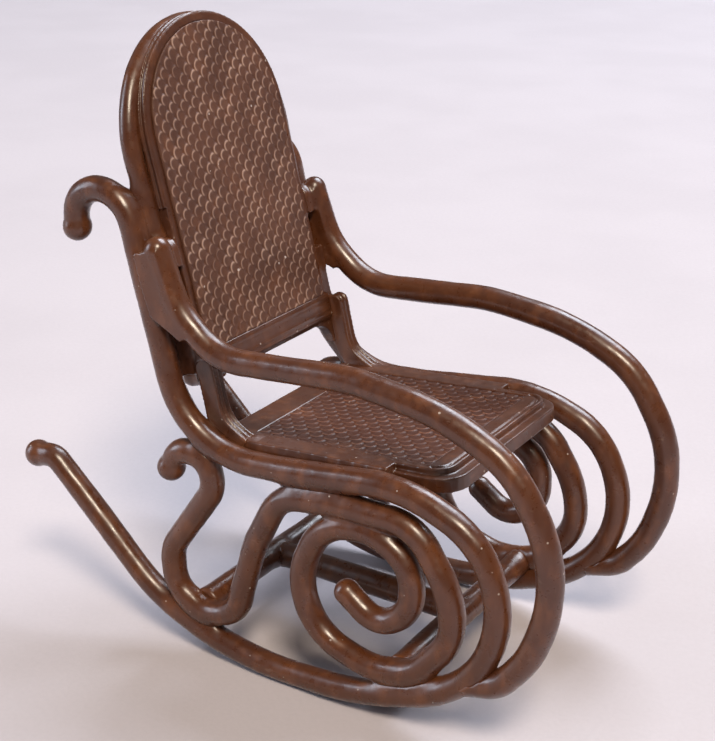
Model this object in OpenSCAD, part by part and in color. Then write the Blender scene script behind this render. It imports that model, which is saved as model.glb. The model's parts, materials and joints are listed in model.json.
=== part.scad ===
// Dolls' house rocking chair, moulded in imitation of steam-bent rods and pressed cane.
// Two looped side frames carry a reclined back and a shallow seat; an H of bars ties them below.
// Frame: millimetres. +X is the way the sitter faces, +Y the sitter's left, +Z up.
// The origin is on the floor, under the middle of the chair's outer box.

/* [Side frames] */
// diameter of the bent rods
rod_d = 3.2; // [3.2:0.1:3.4]
// diameter of the ball at a rod's free end
ball_d = 3.7; // [3.6:0.1:4.2]
// distance between the middles of the two side frames
side_spacing = 33.0; // [32.6:0.2:34]
// height of the rod's middle where the post turns over at its top
post_top = 60.1; // [59.6:0.1:61]
// height of the rod's middle where the post turns into the seat rail
rail_rear = 28.5; // [28.3:0.1:28.9]
// depth, front to back, of the flat flank behind the arm's upper end
arm_flank = 2.9; // [2.8:0.1:3]

/* [Back] */
// angle the back leans from upright
back_tilt = 14.6; // [13.6:0.2:15.6]
// radius of the cane's round top, which is also half its width
cane_r = 12.4; // [12:0.1:12.8]
// height of the cane below the middle of its round top
cane_drop = 26.2; // [25:0.2:27]
// width of the ribbed border around the cane
border = 1.0; // [0.8:0.1:1.0]
// height of the plain rail under the cane
lower_rail = 3.8; // [3.4:0.1:4.2]
// thickness of the wall behind the cane, inside the back's rim
back_wall = 1.2; // [1.1:0.1:1.4]
// thickness of the back's body behind the cane
back_body = 2.2; // [2:0.1:2.4]
// diameter of the hoop rod behind the back
hoop_d = 2.4; // [2.2:0.1:2.4]
// radius of the hoop's round top, to the rod's middle
hoop_r = 14.6; // [14.4:0.1:14.8]
// angle by which each side of the hoop leans inwards on its way down
hoop_lean = 3; // [2.6:0.2:3.4]
// width of each leg that joins the back to the seat
leg_w = 2.0; // [1.8:0.1:2.2]

/* [Seat] */
// rise of the seat towards the front, in degrees
seat_slope = 4.5; // [4:0.25:5]
// thickness of the seat
seat_t = 2.6; // [2.4:0.1:2.8]
// half the width of the seat's cane
seat_cane_half = 12.0; // [11.6:0.1:12.2]
// half the width of the seat's stepped front
seat_front_half = 13.9; // [13.5:0.1:14.1]
// outer radius of the seat's front corners
seat_corner = 3.2; // [2.6:0.2:3.6]

/* [Stretchers] */
// diameter of the bars that tie the side frames together
bar_d = 3.4; // [3:0.1:3.6]
// height of the bars' middles above the floor
bar_z = 7.0; // [6.8:0.1:7.4]

/* [Hidden] */
$fn = 24;
// depth of the faint step where a straight run enters a bend, and how far it enters
seam = 0.01;
lap = 0.1;
e = 0.01;
right = -1;
left = 1;
side_y = side_spacing / 2;
// rod ends that are only rounded over
end_d = rod_d + 0.06;
rail_inner = side_y - rod_d / 2;
brown = [0.24, 0.12, 0.07];
dark_brown = [0.19, 0.09, 0.05];
cane_brown = [0.28, 0.17, 0.11];

// A rod's line in its side view: [forward, up, bend radius] at each corner, and plain ends.
// Post, seat rail, front bow and rocker, all one rod.
main_line = [
    [-28.0, post_top - 5.3],
    [-28.0, post_top, 4],
    [-20.1, post_top, 4.8],
    [-12.2, rail_rear, 12],
    [3.0, rail_rear + 1.1, 60],
    [18.8, 31.8, 18],
    [28.5, 28.0, 10],
    [31.7, 21.0, 12],
    [31.0, 13.2, 14],
    [25.0, 6.4, 17],
    [13.0, 2.2, 40],
    [-6.0, 1.2, 40],
    [-18.6, 6.6, 24],
    [-34.9, 22.0, 2],
    [-38.0, 21.6]
];
// Arm: down the post's front, forward, and round outside the front bow.
arm_line = [
    [-15.4, 53.9],
    [-12.9, 46.9, 10],
    [-6.8, 41.8, 9],
    [12.0, 43.3, 24],
    [24.0, 41.9, 30],
    [32.6, 37.5, 12.5],
    [37.4, 29.5, 16],
    [37.8, 21.5, 19],
    [35.4, 14.5, 14],
    [31.9, 10.2, 5],
    [27.6, 9.0]
];
spiral_start = [18.1, 7.15];
// Scroll: a crook, an open loop, and the outer sweep of the spiral.
scroll_line = [
    [-14.9, 25.6],
    [-13.5, 28.5, 2.4],
    [-9.0, 28.2, 2.8],
    [-8.2, 24.3, 3.8],
    [-15.4, 14.0, 5],
    [-15.1, 8.7, 4],
    [-10.6, 5.9, 4.2],
    [-5.4, 7.3, 4.6],
    [-2.2, 18.2, 14],
    [1.8, 26.0, 5.5],
    [9.5, 27.2, 20],
    [20.6, 27.4, 6],
    [25.4, 20.0, 12],
    [25.9, 13.8, 7],
    [20.8, 7.8, 8],
    spiral_start
];
// Spiral: carries on from the scroll, turns once more and ends inside itself.
spiral_line = [
    spiral_start,
    [15.0, 6.4, 10],
    [6.9, 8.8, 8],
    [4.3, 16.0, 9],
    [7.8, 24.0, 7],
    [15.3, 25.2, 7.5],
    [20.2, 22.0, 5],
    [20.4, 15.8, 5],
    [15.6, 12.8, 3.6],
    [11.4, 15.9]
];
// Leg between the back and the seat: down from the back, then forward into the seat.
leg_line = [
    [-10.2, 39.3],
    [-8.7, 32.5, 5],
    [-4.8, 30.2]
];
leg_y = 14.2;
leg_t = 1.9;

// Flat face of the arm.
flank_t = 3.1;
flank_lead = 1.0;
flank_tip = [1.4, -3.4];
// how far its rear edge drops below the arm's first and second corner
flank_drop = [0.6, 1.2];

// Back: the origin is the middle of the round top, on the cane's face.
back_at = [-17.84, 0, 66.04];
cane_t = 0.8;
border_set_back = 0.4;
hoop_back = 2.6;
hoop_foot = -21.5;
hoop_top = -1.9;
back_half = cane_r + border;
back_foot = -(cane_drop + lower_rail);
rim = 1.8;
rib = 0.4;
rib_proud = 0.25;
rib_end = -8;
rib_in = 0.5;
roll_r = 1;
roll_lap = 0.2;
pad_at = [-0.6, -0.9];
web_r = 3;
web_edge = 0.15;
web_t = 1.5;
// how far the corner reaches into the leg and up into the rail
web_lap = [0.3, 0.5];
pad_r = 1.5;
pad_h = 2;
pad_gap = 0.2;
lug = [3.1, rail_inner - back_half, 8.6];
lug_front = 0.5;
lug_foot = -28.5;

// Seat: the origin is the rear edge of the cane, on the seat's top.
seat_at = [-4.7, 0, 31.15];
seat_rear = -4.4;
seat_half = rail_inner + 0.1;
seat_cane_len = 24.6;
seat_wide_len = 20.6;
seat_tier_len = 27.4;
seat_len = 28.8;
tier_step = 0.8;
// how far the upper tier stays inside the lower one: at its sides, and in its corners' radius
tier_in = [0.7, 0.6];
// how far the stepped front and its groove start behind the widest part's front edge
tier_lap = 1;
groove_lap = 0.8;
groove = 0.35;
groove_deep = 0.3;
groove_inset = 0.5;
groove_min_r = 0.3;

// Stretchers.
rear_bar_x = -10.9;
front_bar_x = 18.2;

// ---- bent rods ----

function corner(line, i) = [line[i][0], line[i][1]];
function unit(v) = v / norm(v);
function heading(line, i) = unit(corner(line, i + 1) - corner(line, i));
function normal(v) = [-v[1], v[0]];
function turn(line, i) = atan2(cross(heading(line, i - 1), heading(line, i)),
    heading(line, i - 1) * heading(line, i));
function is_bend(line, i) = i > 0 && i < len(line) - 1;
// how far before and after its corner a bend starts and stops
function reach(line, i) = is_bend(line, i) ? line[i][2] * tan(abs(turn(line, i)) / 2) : 0;
function leg_start(line, i) = corner(line, i) + heading(line, i) * reach(line, i);
function leg_stop(line, i) = corner(line, i + 1) - heading(line, i) * reach(line, i + 1);
function bend_centre(line, i) = leg_start(line, i)
    + normal(heading(line, i)) * line[i][2] * sign(turn(line, i));
// angle, seen from the bend's centre, at which its sweep begins
function bend_from(line, i) = let (from = turn(line, i) > 0 ? leg_stop(line, i - 1)
    : leg_start(line, i)) atan2((from - bend_centre(line, i))[1], (from - bend_centre(line, i))[0]);

// Places its children on the straight run i, standing along local Z from the run's start.
module on_run(line, i) {
    translate(concat(leg_start(line, i) - heading(line, i) * lap, 0))
        rotate([0, 0, atan2(heading(line, i)[1], heading(line, i)[0]) - 90])
            rotate([-90, 0, 0])
                children();
}

// Sweeps its child, a flat section, round bend i. The section's Y is the chair's Y.
module round_bend(line, i) {
    translate(concat(bend_centre(line, i), 0))
        rotate([0, 0, bend_from(line, i)])
            rotate_extrude(angle = abs(turn(line, i)), $fn = max(32, 3 * line[i][2]))
                translate([line[i][2], 0])
                    children();
}

function run_len(line, i) = norm(leg_stop(line, i) - leg_start(line, i)) + 2 * lap;

module rod(line, d = rod_d) {
    for (i = [0 : len(line) - 2])
        on_run(line, i)
            cylinder(d = d - 2 * seam, h = run_len(line, i));
    for (i = [1 : len(line) - 2])
        round_bend(line, i)
            circle(d = d);
}

// Flat strip, `depth` thick in the side view and `width` wide across the chair.
module strip(line, depth, width) {
    for (i = [0 : len(line) - 2])
        on_run(line, i)
            translate([0, 0, run_len(line, i) / 2])
                cube([depth - 2 * seam, width - 2 * seam, run_len(line, i)], center = true);
    for (i = [1 : len(line) - 2])
        round_bend(line, i)
            square([depth, width], center = true);
}

// Ball at the first or last point of a rod, with its poles on the rod's own line.
module end_ball(line, i, d) {
    along = heading(line, min(i, len(line) - 2));
    translate(concat(corner(line, i), 0))
        rotate([0, 0, atan2(along[1], along[0])])
            rotate([0, 90, 0])
                sphere(d = d);
}

// Stands a side view up at the middle of one side frame.
module at_side(side, y = side_y) {
    translate([0, side * y, 0])
        rotate([90, 0, 0])
            children();
}

module main_rod(side) {
    color(brown)
        at_side(side)
            main_rod_flat();
}

module main_rod_flat() {
    rod(main_line);
    end_ball(main_line, 0, ball_d);
    end_ball(main_line, len(main_line) - 1, ball_d);
}

module arm(side) {
    color(brown)
        at_side(side)
            difference() {
                union() {
                    rod(arm_line);
                    end_ball(arm_line, 0, end_d);
                    arm_flank_block();
                    arm_pad(side);
                }
                main_rod_flat();
            }
}

// Round-shouldered pad on the arm's inner face, in front of the hoop.
module arm_pad(side) {
    reach_in = side_y - back_half - pad_gap;
    translate(concat(corner(arm_line, 0) + pad_at, 0))
        mirror([0, 0, side > 0 ? 0 : 1]) {
            cylinder(r = pad_r, h = reach_in);
            rotate([0, 0, back_tilt])
                translate([-pad_r, -pad_h, 0])
                    cube([2 * pad_r, pad_h, reach_in]);
        }
}

// Flat outer face of the arm's upper end: it reaches back to the post and forward over the rod.
module arm_flank_block() {
    top = corner(arm_line, 0);
    low = corner(arm_line, 1);
    ahead_top = normal(heading(arm_line, 0));
    ahead_low = unit(ahead_top + normal(heading(arm_line, 1)));
    translate([0, 0, -flank_t / 2])
        linear_extrude(flank_t)
            polygon([
                top + flank_lead * ahead_top,
                top - [arm_flank, flank_drop[0]],
                low - [arm_flank, flank_drop[1]],
                low + flank_tip,
                (low + corner(arm_line, 2)) / 2,
                low + flank_lead * ahead_low
            ]);
}

module scroll(side) {
    color(brown)
        at_side(side) {
            rod(scroll_line);
            end_ball(scroll_line, 0, ball_d);
        }
}

module spiral(side) {
    color(brown)
        at_side(side) {
            rod(spiral_line);
            end_ball(spiral_line, len(spiral_line) - 1, end_d);
        }
}

// ---- back ----

module in_back() {
    translate(back_at)
        rotate([0, -back_tilt, 0])
            children();
}

// Round-topped slab, face at `front`, thickness t, standing on `foot`.
module arch(half, foot, front, t) {
    translate([front - t, 0, 0])
        rotate([0, 90, 0])
            cylinder(r = half, h = t, $fn = 96);
    translate([front - t, -half, foot])
        cube([t, 2 * half, -foot]);
}

module back_cane() {
    color(cane_brown)
        in_back()
            arch(cane_r, -cane_drop, 0, cane_t);
}

module back_frame() {
    body_front = -border_set_back;
    body_mid = body_front - back_body / 2;
    color(dark_brown)
        in_back() {
            difference() {
                union() {
                    arch(back_half, back_foot, body_front, back_body);
                    for (k = [-1 : 1])
                        side_rib(body_mid + k * 2 * rib);
                }
                arch(cane_r, -cane_drop, e, cane_t + e);
                arch(back_half - rim, -cane_drop, body_front - back_wall, back_body);
                hoop();
            }
            lower_rail_roll();
            corner_web(right);
            corner_web(left);
        }
}

// Hollow-curved corner between the lower rail and a leg.
module corner_web(side) {
    outer = leg_y - leg_w / 2;
    difference() {
        translate([-border_set_back - web_t, side > 0 ? outer - web_r : -outer - web_lap[0],
            back_foot - web_r])
            cube([web_t, web_r + web_lap[0], web_r + web_lap[1]]);
        translate([-border_set_back - web_t - 1, side * (outer - web_r - web_edge),
            back_foot - web_r - web_edge])
            rotate([0, 90, 0])
                cylinder(r = web_r, h = web_t + 2);
    }
}

// One of the thin ribs round the back's edge.
module side_rib(w) {
    difference() {
        arch(back_half + rib_proud, rib_end, w + rib / 2, rib);
        arch(back_half - rib_in, rib_end - 1, w + rib, 2 * rib);
    }
}

// Plain rounded rail under the cane.
module lower_rail_roll() {
    translate([-roll_r - roll_lap, -back_half, back_foot + roll_r])
        cube([roll_r + roll_lap, 2 * back_half, lower_rail - roll_r]);
    translate([-roll_r, -back_half, back_foot + roll_r - e])
        rotate([-90, 0, 0])
            cylinder(r = roll_r, h = 2 * back_half);
}

// Half the hoop's width at height v on one of its straight sides.
function hoop_half(v) = (hoop_r + (v - hoop_top) * sin(hoop_lean)) / cos(hoop_lean);

// The hoop's line seen from the front: up one side, over the top, down the other.
function hoop_line() = let (top = hoop_top + hoop_r, wide = hoop_half(top) + seam, foot = hoop_foot) [
    [-hoop_half(foot), foot],
    [-wide, top, hoop_r],
    [wide, top, hoop_r],
    [hoop_half(foot), foot]
];

module hoop() {
    translate([-hoop_back, 0, 0])
        rotate([90, 0, 90])
            rod(hoop_line(), hoop_d);
}

module back_hoop() {
    color(brown)
        difference() {
            in_back()
                hoop();
            for (s = [right, left])
                at_side(s)
                    main_rod_flat();
        }
}

// Ribbed leg that curves from the back's lug down into the seat's rear corner.
module back_leg(side) {
    color(dark_brown)
        difference() {
            at_side(side, leg_y) {
                strip(leg_line, leg_t, leg_w);
                leg_head(leg_t, leg_w);
                for (k = [-1 : 1])
                    translate([0, 0, k * 2 * rib]) {
                        strip(leg_line, leg_t + 2 * rib_proud, rib);
                        leg_head(leg_t + 2 * rib_proud, rib);
                    }
            }
            seat_body();
        }
}

// Round top end of a strip that starts at the leg's first point.
module leg_head(depth, width) {
    translate(concat(corner(leg_line, 0), 0))
        cylinder(d = depth - 2 * seam, h = width - 4 * seam, center = true);
}

// Lug on the back's edge: it takes the hoop's foot, fills the gap to the post and carries the leg.
module back_lug(side) {
    color(dark_brown)
        difference() {
            in_back()
                translate([-lug[0] - lug_front, side > 0 ? back_half : -back_half - lug[1], lug_foot])
                    cube(lug);
            in_back()
                hoop();
            at_side(side, leg_y) {
                strip(leg_line, leg_t + 2 * rib_proud, leg_w);
                leg_head(leg_t + 2 * rib_proud, leg_w);
            }
        }
}

// ---- seat ----

module in_seat() {
    translate(seat_at)
        rotate([0, -seat_slope, 0])
            children();
}

// Outline from the seat's rear to `len`, with front corners of radius r.
function front_outline(from, len, half, r) = concat(
    [[from, -half]],
    [for (a = [-90 : 15 : 0]) [len - r + r * cos(a), r - half + r * sin(a)]],
    [for (a = [0 : 15 : 90]) [len - r + r * cos(a), half - r + r * sin(a)]],
    [[from, half]]
);

// Plate of that outline, its top at z and t thick.
module front_plate(from, len, half, r, z, t) {
    translate([0, 0, z - t])
        linear_extrude(t)
            polygon(front_outline(from, len, half, r));
}

module seat_body() {
    in_seat() {
        translate([seat_rear, -seat_half, -seat_t])
            cube([seat_wide_len - seat_rear, 2 * seat_half, seat_t]);
        front_plate(seat_wide_len - tier_lap, seat_tier_len, seat_front_half - tier_in[0],
            seat_corner - tier_in[1], 0, seat_t);
        front_plate(seat_wide_len - tier_lap, seat_len, seat_front_half, seat_corner, -tier_step,
            seat_t - tier_step);
    }
}

// Channel that follows the seat's front corners, `inset` inside the upper tier.
module front_groove(inset) {
    half = seat_front_half - tier_in[0] - inset;
    r = seat_corner - tier_in[1] - inset;
    difference() {
        front_plate(seat_wide_len - groove_lap, seat_tier_len - inset, half, r, e,
            groove_deep + e);
        front_plate(seat_wide_len - tier_lap, seat_tier_len - inset - groove, half - groove,
            max(r - groove, groove_min_r), 1, 2);
    }
}

module seat_frame() {
    color(dark_brown)
        difference() {
            seat_body();
            in_seat() {
                translate([0, -seat_cane_half, -cane_t])
                    cube([seat_cane_len, 2 * seat_cane_half, 2]);
                front_groove(groove_inset);
            }
        }
}

module seat_cane() {
    color(cane_brown)
        in_seat()
            translate([0, -seat_cane_half, -cane_t])
                cube([seat_cane_len, 2 * seat_cane_half, cane_t]);
}

// ---- stretchers ----

module cross_bar(x) {
    half = side_y - rod_d / 4;
    translate([x, -half, bar_z])
        rotate([-90, 0, 0])
            cylinder(d = bar_d, h = 2 * half);
}

module cross_stretcher(x) {
    color(brown)
        cross_bar(x);
}

module centre_stretcher() {
    color(brown)
        difference() {
            translate([rear_bar_x, 0, bar_z])
                rotate([0, 90, 0])
                    cylinder(d = bar_d, h = front_bar_x - rear_bar_x);
            cross_bar(rear_bar_x);
            cross_bar(front_bar_x);
        }
}

main_rod(right);  // right_main_rod
main_rod(left);  // left_main_rod
arm(right);  // right_arm
arm(left);  // left_arm
scroll(right);  // right_scroll
scroll(left);  // left_scroll
spiral(right);  // right_spiral
spiral(left);  // left_spiral
back_hoop();
back_frame();
back_cane();
back_leg(right);  // right_back_leg
back_leg(left);  // left_back_leg
back_lug(right);  // right_back_lug
back_lug(left);  // left_back_lug
seat_frame();
seat_cane();
cross_stretcher(front_bar_x);  // front_stretcher
cross_stretcher(rear_bar_x);  // rear_stretcher
centre_stretcher();
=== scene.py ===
import json
import math

import bmesh
import bpy
import numpy as np
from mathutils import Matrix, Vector
from mathutils.bvhtree import BVHTree


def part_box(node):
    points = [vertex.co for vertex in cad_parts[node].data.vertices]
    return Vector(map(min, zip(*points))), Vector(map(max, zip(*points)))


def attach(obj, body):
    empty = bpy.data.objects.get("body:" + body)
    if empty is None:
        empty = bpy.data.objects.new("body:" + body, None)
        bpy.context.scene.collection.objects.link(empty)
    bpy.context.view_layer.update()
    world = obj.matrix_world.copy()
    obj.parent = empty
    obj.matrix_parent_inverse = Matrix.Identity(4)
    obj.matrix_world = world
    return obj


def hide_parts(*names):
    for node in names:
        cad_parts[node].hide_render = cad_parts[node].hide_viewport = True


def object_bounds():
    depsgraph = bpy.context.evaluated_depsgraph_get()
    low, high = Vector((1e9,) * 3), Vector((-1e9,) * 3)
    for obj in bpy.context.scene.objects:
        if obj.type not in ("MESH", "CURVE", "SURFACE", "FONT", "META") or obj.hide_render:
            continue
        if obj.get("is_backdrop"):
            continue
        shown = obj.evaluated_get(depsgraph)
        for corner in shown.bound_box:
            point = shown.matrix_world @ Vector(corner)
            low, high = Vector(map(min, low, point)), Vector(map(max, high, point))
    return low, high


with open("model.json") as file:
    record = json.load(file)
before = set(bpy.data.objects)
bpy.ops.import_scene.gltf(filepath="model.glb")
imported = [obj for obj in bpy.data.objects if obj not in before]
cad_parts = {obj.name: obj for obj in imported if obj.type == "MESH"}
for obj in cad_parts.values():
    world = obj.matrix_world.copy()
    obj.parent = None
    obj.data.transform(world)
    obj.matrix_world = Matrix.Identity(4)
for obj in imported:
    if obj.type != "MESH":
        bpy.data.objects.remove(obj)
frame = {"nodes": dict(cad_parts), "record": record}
CAD_LOW, CAD_HIGH = (np.array(c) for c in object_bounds())
NODES = frame["nodes"]
SLOT_OF = {s["node"]: s["material_slot"] for s in frame["record"]["subparts"]}
MM = 0.001
LINEAR_LIMIT = 10  # sRGB values up to this one lie on the curve's straight foot
SLAB = 0.7  # thickness of a cane panel, in millimetres
WELD = 1e-4  # points of a CAD node this near are one point, in millimetres
BURIED = 0.02  # a point this deep in a neighbour is hidden by it, in millimetres
BACK_TILT = math.radians(14.6)
SEAT_SLOPE = math.radians(4.5)
SEAT_TOP = 36.0  # height between the seat's cane and the back's, in millimetres


# ---------------------------------------------------------------- meshes

def cad_copy(*nodes):
    """A welded copy of CAD nodes' meshes, in millimetres."""
    bm = bmesh.new()
    for node in nodes:
        bm.from_mesh(NODES[node].data)
    bmesh.ops.scale(bm, vec=(1 / MM,) * 3, verts=bm.verts)
    bmesh.ops.remove_doubles(bm, verts=bm.verts, dist=WELD)
    return bm


def points_of(mesh):
    co = np.empty(len(mesh.vertices) * 3, np.float32)
    mesh.vertices.foreach_get("co", co)
    return co.reshape(-1, 3).astype(float)


def normals_of(mesh):
    no = np.empty(len(mesh.vertices) * 3, np.float32)
    mesh.vertex_normals.foreach_get("vector", no)
    return no.reshape(-1, 3).astype(float)


def set_points(mesh, co):
    mesh.vertices.foreach_set("co", co.astype(np.float32).ravel())
    mesh.update()


def new_object(name, mesh):
    obj = bpy.data.objects.new(name, mesh)
    bpy.context.scene.collection.objects.link(obj)
    return obj


def drop_crumbs(mesh):
    """Keeps the largest body: a voxel grid can leave loose crumbs beside edges thinner than a voxel."""
    bm = bmesh.new()
    bm.from_mesh(mesh)
    bodies, seen = [], set()
    for start in bm.verts:
        if start in seen:
            continue
        seen.add(start)
        body, todo = [], [start]
        while todo:
            vert = todo.pop()
            body.append(vert)
            for edge in vert.link_edges:
                other = edge.other_vert(vert)
                if other not in seen:
                    seen.add(other)
                    todo.append(other)
        bodies.append(body)
    bodies.sort(key=len)
    crumbs = [vert for body in bodies[:-1] for vert in body]
    if crumbs:
        bmesh.ops.delete(bm, geom=crumbs, context="VERTS")
        bm.to_mesh(mesh)
    bm.free()


def remeshed(name, bm, voxel, smooth, keep):
    """The copy as an even mesh with softened edges, as a moulding has, in millimetres."""
    mesh = bpy.data.meshes.new(name)
    bm.to_mesh(mesh)
    obj = new_object(name, mesh)
    grid = obj.modifiers.new("grid", "REMESH")
    grid.mode = "VOXEL"
    grid.voxel_size = voxel
    soft = obj.modifiers.new("soft", "SMOOTH")
    soft.factor = 0.5
    soft.iterations = smooth
    if keep < 1:
        lean = obj.modifiers.new("lean", "DECIMATE")
        lean.ratio = keep
    final = obj.evaluated_get(bpy.context.evaluated_depsgraph_get())
    made = bpy.data.meshes.new_from_object(final)
    bpy.data.objects.remove(obj)
    bpy.data.meshes.remove(mesh)
    made.name = name
    drop_crumbs(made)
    return made


def waves(co, seed, wavelength, count=9):
    """A smooth field in -1..1 made of plane waves, the same on every run."""
    rng = np.random.default_rng(seed)
    field = np.zeros(len(co))
    for _ in range(count):
        way = rng.normal(size=3)
        way *= 2 * math.pi / (wavelength * rng.uniform(0.7, 1.5) * np.linalg.norm(way))
        field += np.sin(co @ way + rng.uniform(0, 2 * math.pi))
    return field / math.sqrt(count)


def fillet_push(start, n, tree, k):
    """How far a point moves along its normal to meet a neighbour's fillet of reach k, or None inside it."""
    hit = tree.find_nearest(start, k)
    if hit[0] is None:
        return 0.0
    if (start - hit[0]).dot(hit[1]) < -BURIED:
        return None
    t = 0.0
    for _ in range(4):
        p = start + n * t
        hit = tree.find_nearest(p, k)
        if hit[0] is None:
            break
        away = hit[3] if (p - hit[0]).dot(hit[1]) > 0 else -hit[3]
        h = max(k - abs(t - away), 0) / k
        t -= 0.8 * (min(t, away) - h * h * k / 4)
    return min(max(t, 0.0), k / 3)


def fillets(co, normals, edges, nodes, trees, boxes):
    """Distances along the normals that make this piece meet its neighbours in fillets, as fused mouldings do."""
    push = np.zeros(len(co))
    hidden = np.zeros(len(co), bool)
    for other, tree in trees.items():
        k = reach_of(nodes[0], other)
        if other in nodes or k <= 0:
            continue
        low, high = boxes[other]
        near = np.flatnonzero(np.all((co > low - k) & (co < high + k), axis=1))
        for i in near:
            t = fillet_push(Vector(co[i]), Vector(normals[i]), tree, k)
            if t is None:
                hidden[i] = True
            elif t > push[i]:
                push[i] = t
    push[hidden] = 0
    count = np.maximum(np.bincount(edges.ravel(), minlength=len(co)), 1)
    for _ in range(6):
        total = np.bincount(edges[:, 0], push[edges[:, 1]], len(co))
        total += np.bincount(edges[:, 1], push[edges[:, 0]], len(co))
        push = np.where(hidden, push, 0.5 * push + 0.5 * total / count)
    return push


def inside_cad(co):
    """Keeps points in the CAD box, in millimetres."""
    return np.clip(co, CAD_LOW / MM, CAD_HIGH / MM)


def finished(obj, nodes, material):
    """Puts a finished piece in metres in place of its CAD nodes."""
    obj.data.shade_smooth()
    obj.data.materials.clear()
    obj.data.materials.append(material)
    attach(obj, "root")
    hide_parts(*nodes)
    return obj


# ---------------------------------------------------------------- materials

class Shader:
    """A small helper that adds nodes and links them."""

    def __init__(self, name):
        self.material = bpy.data.materials.new(name)
        self.material.use_nodes = True
        self.tree = self.material.node_tree
        self.main = self.tree.nodes["Principled BSDF"]
        coords = self.add("ShaderNodeTexCoord")
        self.mm = self.add("ShaderNodeVectorMath", operation="SCALE")
        self.mm.inputs["Scale"].default_value = 1 / MM
        self.link(coords.outputs["Object"], self.mm.inputs[0])
        self.place = self.mm.outputs[0]

    def add(self, kind, **settings):
        node = self.tree.nodes.new(kind)
        for key, value in settings.items():
            setattr(node, key, value)
        return node

    def link(self, a, b):
        self.tree.links.new(a, b)

    def put(self, value, socket):
        if isinstance(value, bpy.types.NodeSocket):
            self.link(value, socket)
        else:
            socket.default_value = value

    def noise(self, scale, detail=2.0, rough=0.55, stretch=None):
        place = self.place
        if stretch:
            m = self.add("ShaderNodeMapping")
            m.inputs["Scale"].default_value = stretch
            self.link(place, m.inputs["Vector"])
            place = m.outputs[0]
        n = self.add("ShaderNodeTexNoise")
        n.inputs["Scale"].default_value = scale
        n.inputs["Detail"].default_value = detail
        n.inputs["Roughness"].default_value = rough
        self.link(place, n.inputs["Vector"])
        return n.outputs["Fac"]

    def ramp(self, value, low, high, to_low=0.0, to_high=1.0):
        r = self.add("ShaderNodeMapRange", interpolation_type="SMOOTHSTEP")
        for key, v in (("Value", value), ("From Min", low), ("From Max", high),
                       ("To Min", to_low), ("To Max", to_high)):
            self.put(v, r.inputs[key])
        return r.outputs["Result"]

    def math(self, operation, a, b=0.0):
        m = self.add("ShaderNodeMath", operation=operation)
        self.put(a, m.inputs[0])
        self.put(b, m.inputs[1])
        return m.outputs[0]

    def mix(self, share, a, b):
        m = self.add("ShaderNodeMix", data_type="RGBA")
        self.put(share, m.inputs["Factor"])
        sockets = [s for s in m.inputs if s.type == "RGBA"]
        self.put(a, sockets[0])
        self.put(b, sockets[1])
        return [s for s in m.outputs if s.type == "RGBA"][0]

    def specks(self, scale, radius, share):
        """Round dust specks: one in `share` of the cells of a Voronoi pattern."""
        v = self.add("ShaderNodeTexVoronoi")
        v.inputs["Scale"].default_value = scale
        self.link(self.place, v.inputs["Vector"])
        parts = self.add("ShaderNodeSeparateColor")
        self.link(v.outputs["Color"], parts.inputs[0])
        size = self.math("MULTIPLY", parts.outputs["Green"], radius)
        spot = self.math("LESS_THAN", v.outputs["Distance"], size)
        chosen = self.math("LESS_THAN", parts.outputs["Red"], share)
        return self.math("MULTIPLY", spot, chosen)

    def bump(self, height, distance, strength=1.0, under=None):
        b = self.add("ShaderNodeBump")
        b.inputs["Strength"].default_value = strength
        b.inputs["Distance"].default_value = distance
        self.put(height, b.inputs["Height"])
        if under is not None:
            self.link(under, b.inputs["Normal"])
        return b.outputs["Normal"]

    def set(self, **values):
        names = {"color": "Base Color", "rough": "Roughness", "normal": "Normal", "coat": "Coat Weight",
                 "coat_rough": "Coat Roughness", "level": "Specular IOR Level"}
        for key, value in values.items():
            self.put(value, self.main.inputs[names[key]])


def rgb(r, g, b):
    """An sRGB colour of 0..255 as the linear value that a shader takes."""
    part = [c / 255 / 12.92 if c <= LINEAR_LIMIT else ((c / 255 + 0.055) / 1.055) ** 2.4 for c in (r, g, b)]
    return (*part, 1)


def brown_plastic(name, dark, mid, warm, rough, wavy):
    """Glossy moulded plastic, painted lighter along its edges as rubbed wear and painted highlight, with dust
    and fine scuffs.
    """
    s = Shader(name)
    cloud = s.noise(0.11, 3)
    flow = s.noise(0.55, 3, stretch=(1, 1, 0.45))
    grain = s.noise(5.5, 3)
    scuff = s.ramp(s.noise(1.4, 5, 0.7, stretch=(0.35, 1.6, 1)), 0.62, 0.72)
    color = s.mix(s.ramp(cloud, 0.35, 0.65), dark, mid)
    color = s.mix(s.ramp(flow, 0.45, 0.75, 0, 0.7), color, warm)
    # painted highlight and wear: sharp edges are painted a lighter brown, partly rubbed wear and partly a
    # painted highlight along the edges
    edge = s.ramp(s.add("ShaderNodeNewGeometry").outputs["Pointiness"], 0.52, 0.62)
    wear_and_edge_highlight = s.math("MULTIPLY", edge, s.ramp(grain, 0.35, 0.6, 0.25, 1.0))
    color = s.mix(s.math("MULTIPLY", wear_and_edge_highlight, 0.3), color, rgb(142, 92, 66))
    color = s.mix(s.math("MULTIPLY", scuff, 0.18), color, rgb(160, 130, 112))
    dust = s.specks(0.75, 0.13, 0.3)
    color = s.mix(s.math("MULTIPLY", dust, 0.55), color, rgb(196, 182, 172))
    gloss = s.ramp(s.noise(0.8, 4), 0.3, 0.75, rough, rough + 0.2)
    gloss = s.math("ADD", gloss, s.math("MULTIPLY", s.math("ADD", scuff, dust), 0.18))
    normal = s.bump(s.noise(0.42, 2), 0.16 * MM, wavy)
    normal = s.bump(grain, 0.006 * MM, 1.0, normal)
    normal = s.bump(dust, 0.03 * MM, 0.8, normal)
    s.set(color=color, rough=gloss, normal=normal, coat=0.25, coat_rough=0.2, level=0.5)
    return s.material


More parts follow.
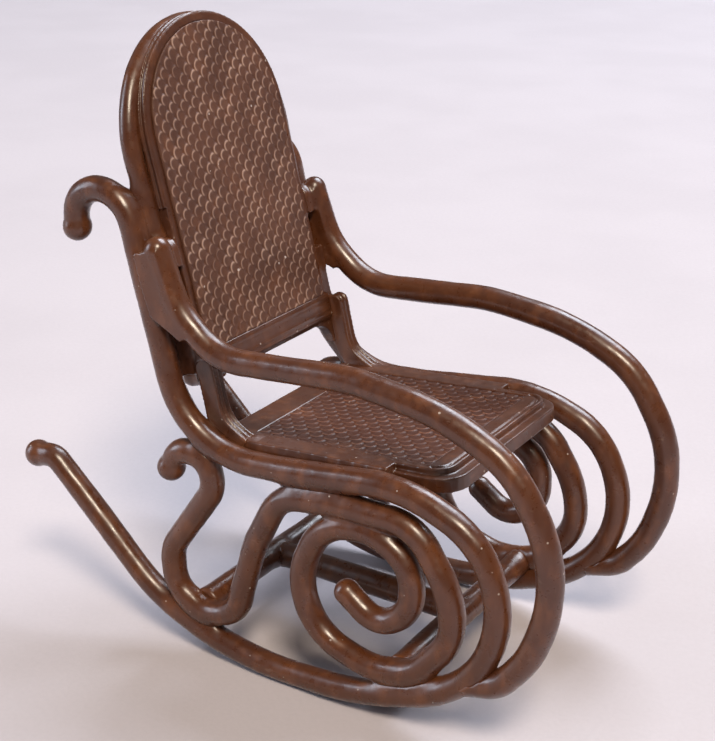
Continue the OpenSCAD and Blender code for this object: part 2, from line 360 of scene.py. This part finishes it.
def cane_plastic(name):
    """More matt plastic of the imitation cane. Its pattern is in the mesh; `relief` is its height."""
    s = Shader(name)
    relief = s.add("ShaderNodeAttribute", attribute_name="relief").outputs["Fac"]
    cloud = s.noise(0.16, 3)
    grain = s.noise(4.5, 4, 0.65)
    # painted highlight: the raised crescents, which sit on the side facing the light, take a much lighter colour
    # than the low parts of the cane
    low = s.mix(s.ramp(cloud, 0.35, 0.65), rgb(78, 48, 35), rgb(90, 57, 42))
    top = s.mix(s.ramp(cloud, 0.3, 0.7), rgb(158, 128, 112), rgb(174, 142, 124))
    color = s.mix(s.ramp(relief, 0.45, 0.95), low, top)
    axes = s.add("ShaderNodeSeparateXYZ")
    s.link(s.place, axes.inputs[0])
    seat = s.ramp(axes.outputs["Z"], SEAT_TOP, SEAT_TOP + 1, 0.85, 0.0)
    # painted highlight: on the seat, too, the raised crescents take a lighter brown than its low parts
    color = s.mix(seat, color, s.mix(s.ramp(relief, 0.5, 1.0), rgb(66, 30, 11), rgb(114, 60, 27)))
    color = s.mix(s.ramp(s.noise(0.3, 4), 0.52, 0.72, 0, 0.18), color, rgb(128, 78, 48))
    rub = s.math("MULTIPLY", s.ramp(relief, 0.7, 1.0), s.ramp(s.noise(0.6, 4, 0.7), 0.55, 0.68))
    color = s.mix(s.math("MULTIPLY", rub, 0.4), color, rgb(170, 142, 126))
    dust = s.specks(0.6, 0.14, 0.22)
    color = s.mix(s.math("MULTIPLY", dust, 0.6), color, rgb(200, 186, 178))
    gloss = s.ramp(grain, 0.3, 0.75, 0.42, 0.62)
    normal = s.bump(grain, 0.02 * MM, 1.0)
    s.set(color=color, rough=gloss, normal=normal, coat=0.03, coat_rough=0.3, level=0.32)
    return s.material


ROD = brown_plastic("rod_plastic", rgb(72, 38, 21), rgb(84, 46, 24), rgb(106, 62, 35), 0.25, 0.45)
FRAME = brown_plastic("frame_plastic", rgb(68, 37, 22), rgb(80, 44, 25), rgb(100, 59, 35), 0.27, 0.35)
CANE = cane_plastic("cane_plastic")


# ---------------------------------------------------------------- moulded pieces

CANES = ("back_cane", "seat_cane")
GRIDS = {  # voxel, smoothing steps, share of faces kept
    "main_rod": (0.3, 4, 1),
    "arm": (0.22, 3, 0.8),
    "scroll": (0.28, 4, 1),
    "spiral": (0.28, 4, 1),
    "back_hoop": (0.24, 3, 1),
    "back_frame": (0.11, 1, 0.3),
    "seat_frame": (0.15, 2, 0.35),
    "back_leg": (0.15, 2, 1),
    "back_lug": (0.15, 2, 1),
    "stretcher": (0.3, 3, 1),
}


def kind_of(node):
    return next(k for k in GRIDS if node.endswith(k))


def reach_of(a, b):
    """How far the fillet between two pieces reaches, in millimetres."""
    pair = {kind_of(a), kind_of(b)}
    if pair <= {"back_hoop", "back_frame", "back_lug"}:
        return 0.3
    if pair == {"arm", "main_rod"}:
        return 0.25
    if pair & {"back_leg", "back_lug", "back_frame", "seat_frame", "stretcher"}:
        return 0.8
    return 1.3


def build_mouldings():
    rod_of = {side + "_spiral": side + "_scroll" for side in ("right", "left")}
    mouldings = [n for n in NODES if n not in CANES]
    copies = {n: cad_copy(n) for n in mouldings}
    trees = {n: BVHTree.FromBMesh(bm) for n, bm in copies.items()}
    boxes = {n: tuple(np.array(c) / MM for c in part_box(n)) for n in mouldings}
    for bm in copies.values():
        bm.free()
    for node in mouldings:
        if node in rod_of:
            continue
        nodes = [node] + [spiral for spiral, scroll in rod_of.items() if scroll == node]
        voxel, smooth, keep = GRIDS[kind_of(node)]
        bm = cad_copy(*nodes)
        mesh = remeshed(node + "_moulding", bm, voxel, smooth, keep)
        bm.free()
        co, no = points_of(mesh), normals_of(mesh)
        edges = np.array([e.vertices[:] for e in mesh.edges])
        co += no * fillets(co, no, edges, nodes, trees, boxes)[:, None]
        thick = kind_of(node) in ("main_rod", "arm", "scroll", "stretcher")
        sway = 0.035 if thick else 0.012
        co += no * (sway * waves(co, 11, 9) + 0.3 * sway * waves(co, 12, 2.8))[:, None]
        set_points(mesh, inside_cad(co) * MM)
        finished(new_object(mesh.name, mesh), nodes, ROD if SLOT_OF[node] == "rod_plastic" else FRAME)


# ---------------------------------------------------------------- cane panels

CELL = 2.1  # spacing of the knots along a row; the rows between are shifted by half
KNOT_IN, KNOT_OUT = 0.5, 1.12
CREST_R, CREST_WIDE = 0.74, 0.17  # radius and half width of each knot's raised crescent
DOME = 0.5  # height of the low dome that the crescent stands on
RELIEF = 0.2
STEP = 0.105


def knots(u, v, pitch_u=CELL, pitch_v=CELL):
    """Height 0..1 of a staggered pattern of low domes, each with a thin crescent on one edge."""
    top = np.zeros(u.shape)
    for shift in (0.0, 0.5):
        du = ((u / pitch_u + shift) % 1 - 0.5) * pitch_u
        dv = ((v / pitch_v + shift) % 1 - 0.5) * pitch_v
        out = np.hypot(du, dv)
        t = np.clip((KNOT_OUT - out) / (KNOT_OUT - KNOT_IN), 0, 1)
        facing = (0.42 * dv - 0.91 * du) / np.maximum(out, 1e-9)
        crest = np.exp(-((out - CREST_R) / CREST_WIDE) ** 2) * np.clip((facing + 0.35) / 0.9, 0, 1)
        top = np.maximum(top, DOME * t * t * (3 - 2 * t) + (1 - DOME) * crest)
    return top


def panel(node, origin, across, along, normal, u_span, v_span, snap, pitches):
    """A closed slab whose face carries the cane pattern. snap puts points outside the outline onto it."""
    us = np.linspace(*u_span, int(round((u_span[1] - u_span[0]) / STEP)) + 1)
    vs = np.linspace(*v_span, int(round((v_span[1] - v_span[0]) / STEP)) + 1)
    u, v = np.meshgrid(us, vs)
    su, sv, inside = snap(u, v)
    wobble = np.stack([u.ravel(), v.ravel(), np.zeros(u.size)], 1)
    drift_u = 0.10 * waves(wobble, 21, 7).reshape(u.shape)
    drift_v = 0.10 * waves(wobble, 22, 7).reshape(u.shape)
    height = knots(su + drift_u, sv + drift_v, *pitches)
    height *= 0.9 + 0.1 * waves(wobble, 23, 4).reshape(u.shape)
    height = np.clip(height, 0, 1)
    keep = inside[:-1, :-1] | inside[1:, :-1] | inside[:-1, 1:] | inside[1:, 1:]
    index = np.arange(u.size).reshape(u.shape)
    quads = np.stack([index[:-1, :-1], index[:-1, 1:], index[1:, 1:], index[1:, :-1]], -1)[keep]
    used = np.unique(quads)
    new = np.full(u.size, -1)
    new[used] = np.arange(len(used))
    quads = new[quads]
    fu, fv, fh = su.ravel()[used], sv.ravel()[used], height.ravel()[used]
    flat = origin + np.outer(fu, across) + np.outer(fv, along)
    face, back = flat + np.outer((fh - 1) * RELIEF, normal), flat - SLAB * normal
    turns = set()
    for q in quads.tolist():
        turns.update(zip(q, q[1:] + q[:1]))
    ahead = {a: b for a, b in turns if (b, a) not in turns}
    loop = [next(iter(sorted(ahead)))]
    while ahead[loop[-1]] != loop[0]:
        loop.append(ahead[loop[-1]])
    count, size = len(used), len(loop)
    faces = quads.tolist() + [[count + i for i in reversed(range(size))]]
    faces += [[loop[(i + 1) % size], loop[i], count + i, count + (i + 1) % size] for i in range(size)]
    if np.dot(np.cross(across, along), normal) < 0:
        faces = [f[::-1] for f in faces]
    mesh = bpy.data.meshes.new(node + "_panel")
    mesh.from_pydata((inside_cad(np.vstack([face, back[loop]])) * MM).tolist(), [], faces)
    mesh.validate()
    bm = bmesh.new()
    bm.from_mesh(mesh)
    bmesh.ops.remove_doubles(bm, verts=bm.verts, dist=1e-8)
    bmesh.ops.dissolve_degenerate(bm, edges=bm.edges, dist=1e-7)
    bm.to_mesh(mesh)
    bm.free()
    co = points_of(mesh) / MM
    depth = (co - origin) @ normal
    relief = mesh.attributes.new("relief", "FLOAT", "POINT")
    relief.data.foreach_set("value", np.clip(1 + depth / RELIEF, 0, 1).astype(np.float32))
    finished(new_object(mesh.name, mesh), [node], CANE)


def build_canes():
    y = np.array([0.0, 1.0, 0.0])

    # the back's panel: its face, outline and place are read from the CAD node
    co = points_of(NODES["back_cane"].data) / MM
    normal = np.array([math.cos(BACK_TILT), 0, math.sin(BACK_TILT)])
    up = np.array([-math.sin(BACK_TILT), 0, math.cos(BACK_TILT)])
    w, v, u = co @ normal, co @ up, co[:, 1]
    r = u.max()
    centre, foot = v.max() - r, v.min()

    def arch(su, sv):
        out = np.hypot(su, np.maximum(sv - centre, 0))
        inside = (out <= r) & (sv >= foot)
        pull = np.where(out > r, r / np.maximum(out, 1e-9), 1)
        return su * pull, np.where(sv > centre, centre + (sv - centre) * pull, sv), inside

    panel("back_cane", w.max() * normal, y, up, normal, (-r, r), (foot, centre + r), arch, (CELL, CELL))

    # the seat's panel
    co = points_of(NODES["seat_cane"].data) / MM
    normal = np.array([-math.sin(SEAT_SLOPE), 0, math.cos(SEAT_SLOPE)])
    ahead = np.array([math.cos(SEAT_SLOPE), 0, math.sin(SEAT_SLOPE)])
    w, v, u = co @ normal, co @ ahead, co[:, 1]
    panel("seat_cane", w.max() * normal, y, ahead, normal, (u.min(), u.max()), (v.min(), v.max()),
          lambda a, b: (a, b, np.ones(a.shape, bool)), (2.15, 1.95))


build_mouldings()
build_canes()


# ---------------------------------------------------------------- stage, light and camera

def look(obj, place, target):
    obj.location = place
    obj.rotation_euler = (Vector(target) - Vector(place)).to_track_quat("-Z", "Y").to_euler()


def floor_material():
    s = Shader("pale_floor")
    color = s.mix(s.ramp(s.noise(0.02, 4), 0.35, 0.65), rgb(186, 178, 182), rgb(190, 182, 186))
    color = s.mix(s.ramp(s.noise(1.5, 3), 0.3, 0.8, 0, 0.3), color, rgb(178, 171, 175))
    s.set(color=color, rough=s.ramp(s.noise(0.9, 3), 0.3, 0.7, 0.7, 0.85),
          normal=s.bump(s.noise(1.8, 3), 0.03 * MM, 0.5))
    return s.material


def build_stage():
    mesh = bpy.data.meshes.new("floor")
    half, z = 2.5, float(CAD_LOW[2])
    corners = [(-half, -half, z), (half, -half, z), (half, half, z), (-half, half, z)]
    mesh.from_pydata(corners, [], [(0, 1, 2, 3)])
    floor = new_object("floor", mesh)
    floor.data.materials.append(floor_material())
    floor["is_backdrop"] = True


CAMERA = Vector((96.77, -146.67, 107.51)) * MM
AIM = Vector((2.2, 0.0, 36.7)) * MM
SENSOR = 36  # millimetres
VIEW = 1500 / 715  # the lens in widths of the sensor


def softbox(name, toward, distance, width, height, power, tint):
    data = bpy.data.lights.new(name, "AREA")
    data.shape = "RECTANGLE"
    data.size, data.size_y = width, height
    data.energy = power
    data.color = tint
    obj = bpy.data.objects.new(name, data)
    bpy.context.scene.collection.objects.link(obj)
    look(obj, AIM + Vector(toward).normalized() * distance, AIM)


def build_light():
    right = Vector((0.8405, 0.5418, 0))
    ahead = (AIM - CAMERA).normalized()
    up = right.cross(ahead)
    softbox("window", 0.42 * right + 0.95 * up + 0.12 * ahead, 1.5, 0.95, 0.8, 30, (0.82, 0.89, 1.0))
    softbox("lamp", 0.1 * right + 0.5 * up - 0.85 * ahead, 1.6, 0.4, 0.4, 24, (1.0, 0.86, 0.68))
    softbox("side", -1.0 * right + 0.35 * up - 0.1 * ahead, 1.6, 0.5, 1.0, 12, (0.76, 0.85, 1.0))
    world = bpy.data.worlds.new("studio")
    world.use_nodes = True
    sky = world.node_tree.nodes["Background"]
    sky.inputs["Color"].default_value = (0.78, 0.78, 0.82, 1)
    sky.inputs["Strength"].default_value = 0.17
    bpy.context.scene.world = world


def build_camera():
    data = bpy.data.cameras.new("camera")
    data.sensor_fit = "HORIZONTAL"
    data.sensor_width = SENSOR
    data.lens = SENSOR * VIEW
    data.clip_start, data.clip_end = 0.005, 20
    camera = bpy.data.objects.new("camera", data)
    bpy.context.scene.collection.objects.link(camera)
    look(camera, CAMERA, AIM)
    bpy.context.scene.camera = camera


build_stage()
build_light()
build_camera()
bpy.context.scene.view_settings.view_transform = "Standard"
